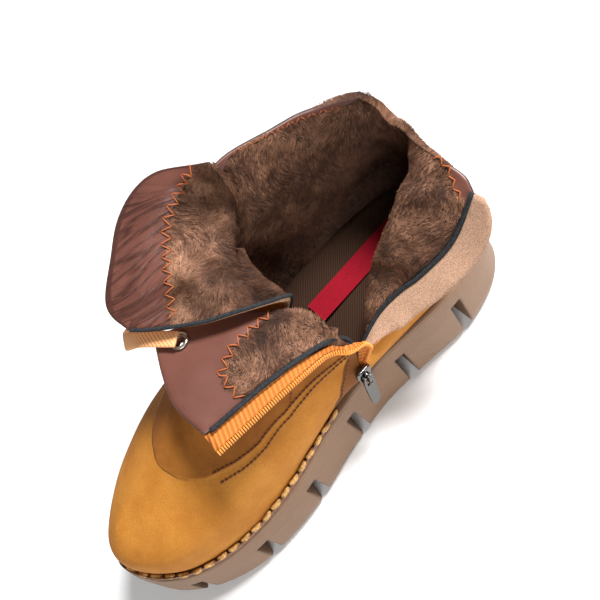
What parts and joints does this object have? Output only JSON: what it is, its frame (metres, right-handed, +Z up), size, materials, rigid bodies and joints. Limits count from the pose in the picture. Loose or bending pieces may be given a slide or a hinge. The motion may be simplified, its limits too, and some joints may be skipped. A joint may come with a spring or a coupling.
{
  "type": "ankle boot",
  "caption": "Right ankle boot in mustard leather with brown fur lining, open side zip, laced throat and a lugged tan rubber sole.",
  "frame": {"origin": "on the floor under the heel, where the sole stands", "axes": "+X towards the toe, +Y towards the medial (inner) side, +Z up from the floor"},
  "size_m": [0.2685, 0.1264, 0.143],
  "materials": {
    "rubber": "matte moulded rubber",
    "welt": "waxed edge",
    "insole_textile": "ribbed pile",
    "label": "woven satin",
    "nubuck": "brushed nubuck",
    "lining_leather": "creased satin",
    "zip_tape": "woven",
    "suede": "napped",
    "gunmetal": "dark plated",
    "lace": "woven",
    "eyelet_metal": "antique plated"
  },
  "bodies": {
    "boot": {"outsole": "rubber", "welt": "welt", "insole": "insole_textile", "insole_label": "label", "upper": "nubuck", "tongue": "lining_leather", "zip_tape_front": "zip_tape", "zip_tape_rear": "zip_tape", "zip_guard": "suede", "zip_slider": "gunmetal", "lace_bar_1": "lace", "lace_bar_2": "lace", "lace_slack": "lace", "eyelet_medial_1": "eyelet_metal", "eyelet_medial_2": "eyelet_metal", "eyelet_medial_3": "eyelet_metal", "eyelet_lateral_1": "eyelet_metal", "eyelet_lateral_2": "eyelet_metal", "eyelet_lateral_3": "eyelet_metal"},
    "pull_tab": {"zip_pull": "gunmetal"}
  },
  "joints": [
    {"name": "pull_swing", "type": "hinge", "parent": "boot", "child": "pull_tab", "pos_m": [0.08021, 0.04431, 0.05578], "axis": [0.9577, 0.0808, 0.2761], "range_deg": [0, 100]}
  ]
}
